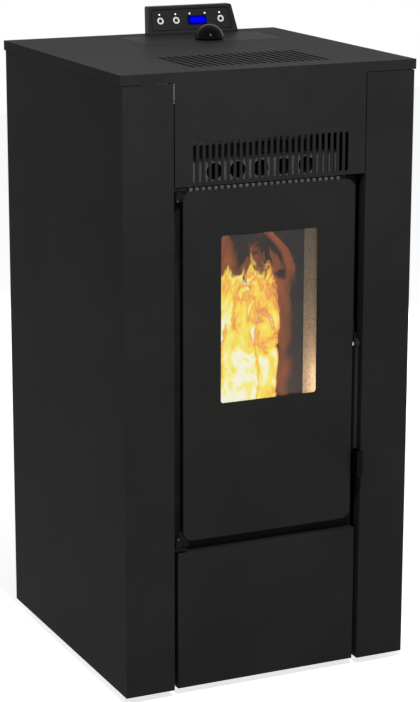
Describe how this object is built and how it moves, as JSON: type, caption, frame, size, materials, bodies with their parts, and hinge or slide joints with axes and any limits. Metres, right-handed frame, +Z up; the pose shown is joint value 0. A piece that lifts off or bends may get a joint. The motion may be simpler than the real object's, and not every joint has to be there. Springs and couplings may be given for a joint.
{
  "type": "pellet stove",
  "caption": "Free-standing black steel pellet stove: glazed door with pull handle, slotted hot-air grilles, top control panel, hopper lid, auger feed, fans and rear flue.",
  "frame": {"origin": "on the floor below the middle of the whole object", "axes": "+Z up, the door faces -Y, +X to the right of the door seen from the front"},
  "size_m": [0.5094, 0.5688, 1.058],
  "materials": {
    "casing_paint": "fine satin black powder coat",
    "door_paint": "satin black heat-resistant paint",
    "stove_paint": "matt black stove paint",
    "galvanised_steel": "galvanised",
    "stainless_steel": "satin",
    "bright_steel": "bright zinc",
    "magnet_steel": "plain",
    "motor_shell": "satin",
    "cast_iron": "rough, sooted",
    "vermiculite": "matt",
    "fire_glass": "polished ceramic glass, lightly sooted",
    "glass_fibre_rope": "woven",
    "black_knob": "polished phenolic",
    "foot_rubber": "matt",
    "control_plastic": "fine texture",
    "button_white": "satin",
    "lamp_white": "clear lens",
    "display_blue": "clear window, lit blue behind",
    "circuit_board": "lacquered"
  },
  "bodies": {
    "root": {"air_duct": "galvanised_steel", "air_intake": "stainless_steel", "ash_pan": "galvanised_steel", "auger_gearmotor": "motor_shell", "auger_tube": "galvanised_steel", "back_panel": "casing_paint", "base_tray": "galvanised_steel", "burn_pot": "cast_iron", "casing_screws": "casing_paint", "control_board": "circuit_board", "control_face": "control_plastic", "control_housing": "control_plastic", "display_window": "display_blue", "door_keeper": "stove_paint", "exchanger_tubes": "stainless_steel", "exhaust_housing": "stainless_steel", "exhaust_motor": "motor_shell", "fan_housing": "galvanised_steel", "fan_motor": "motor_shell", "firebox_lining": "vermiculite", "firebox_shell": "stove_paint", "flame_baffle": "cast_iron", "flue_outlet": "stainless_steel", "front_frame": "stove_paint", "hinge_brackets": "stove_paint", "hinge_pins": "bright_steel", "hopper": "galvanised_steel", "igniter": "stainless_steel", "indicator_lights": "lamp_white", "left_side_panel": "casing_paint", "levelling_feet": "foot_rubber", "main_board": "circuit_board", "panel_magnets": "magnet_steel", "pellet_chute": "galvanised_steel", "pot_shelf": "galvanised_steel", "power_inlet": "control_plastic", "right_side_panel": "casing_paint", "smoke_duct": "galvanised_steel", "spring_clip": "bright_steel", "top_cover": "casing_paint"},
    "door": {"door_panel": "door_paint", "door_inner_frame": "stove_paint", "door_glass": "fire_glass", "glass_gasket": "glass_fibre_rope", "glass_clips": "stainless_steel", "door_gasket": "glass_fibre_rope", "handle_bolt": "bright_steel"},
    "handle": {"handle_lever": "bright_steel", "handle_knob": "black_knob"},
    "lid": {"hopper_lid": "door_paint", "lid_knob": "black_knob", "lid_gasket": "glass_fibre_rope"},
    "lower_panel": {"lower_front_panel": "casing_paint"},
    "button_left": {"control_button_left": "button_white"},
    "button_middle": {"control_button_middle": "button_white"},
    "button_right": {"control_button_right": "button_white"},
    "auger": {"auger_screw": "stainless_steel"},
    "exhaust_wheel": {"exhaust_impeller": "stainless_steel"},
    "fan_wheel": {"fan_impeller": "stainless_steel"},
    "rocker": {"mains_rocker": "control_plastic"}
  },
  "joints": [
    {"name": "door_swing", "type": "hinge", "parent": "root", "child": "door", "pos_m": [-0.1585, -0.26145, 0.5445], "axis": [0, 0, 1], "range_deg": [-110, 0]},
    {"name": "handle_pull", "type": "hinge", "parent": "door", "child": "handle", "pos_m": [0.1587, -0.25795, 0.555], "axis": [1, 0, 0], "range_deg": [-60, 0]},
    {"name": "lid_hinge", "type": "hinge", "parent": "root", "child": "lid", "pos_m": [0.069, 0.19805, 1.0075], "axis": [1, 0, 0], "range_deg": [-92, 0]},
    {"name": "lower_panel_pull", "type": "slide", "parent": "root", "child": "lower_panel", "axis": [0, -1, 0], "range_m": [0, 0.06]},
    {"name": "button_left_press", "type": "slide", "parent": "root", "child": "button_left", "axis": [0, 0.9397, -0.342], "range_m": [0, 0.0008], "stiffness_N_per_m": 900, "springref_m": -0.0006},
    {"name": "button_middle_press", "type": "slide", "parent": "root", "child": "button_middle", "axis": [0, 0.9397, -0.342], "range_m": [0, 0.0008], "stiffness_N_per_m": 900, "springref_m": -0.0006},
    {"name": "button_right_press", "type": "slide", "parent": "root", "child": "button_right", "axis": [0, 0.9397, -0.342], "range_m": [0, 0.0008], "stiffness_N_per_m": 900, "springref_m": -0.0006},
    {"name": "auger_turn", "type": "hinge", "parent": "root", "child": "auger", "pos_m": [0, 0.12445, 0.45308], "axis": [0, -0.8192, 0.5736], "continuous": true},
    {"name": "exhaust_spin", "type": "hinge", "parent": "root", "child": "exhaust_wheel", "pos_m": [0.1073, -0.02445, 0.182], "axis": [1, 0, 0], "continuous": true},
    {"name": "fan_spin", "type": "hinge", "parent": "root", "child": "fan_wheel", "pos_m": [-0.135, -0.02565, 0.182], "axis": [1, 0, 0], "continuous": true},
    {"name": "rocker_tilt", "type": "hinge", "parent": "root", "child": "rocker", "pos_m": [-0.2, 0.23595, 0.084], "axis": [1, 0, 0], "range_deg": [-14, 0]}
  ]
}
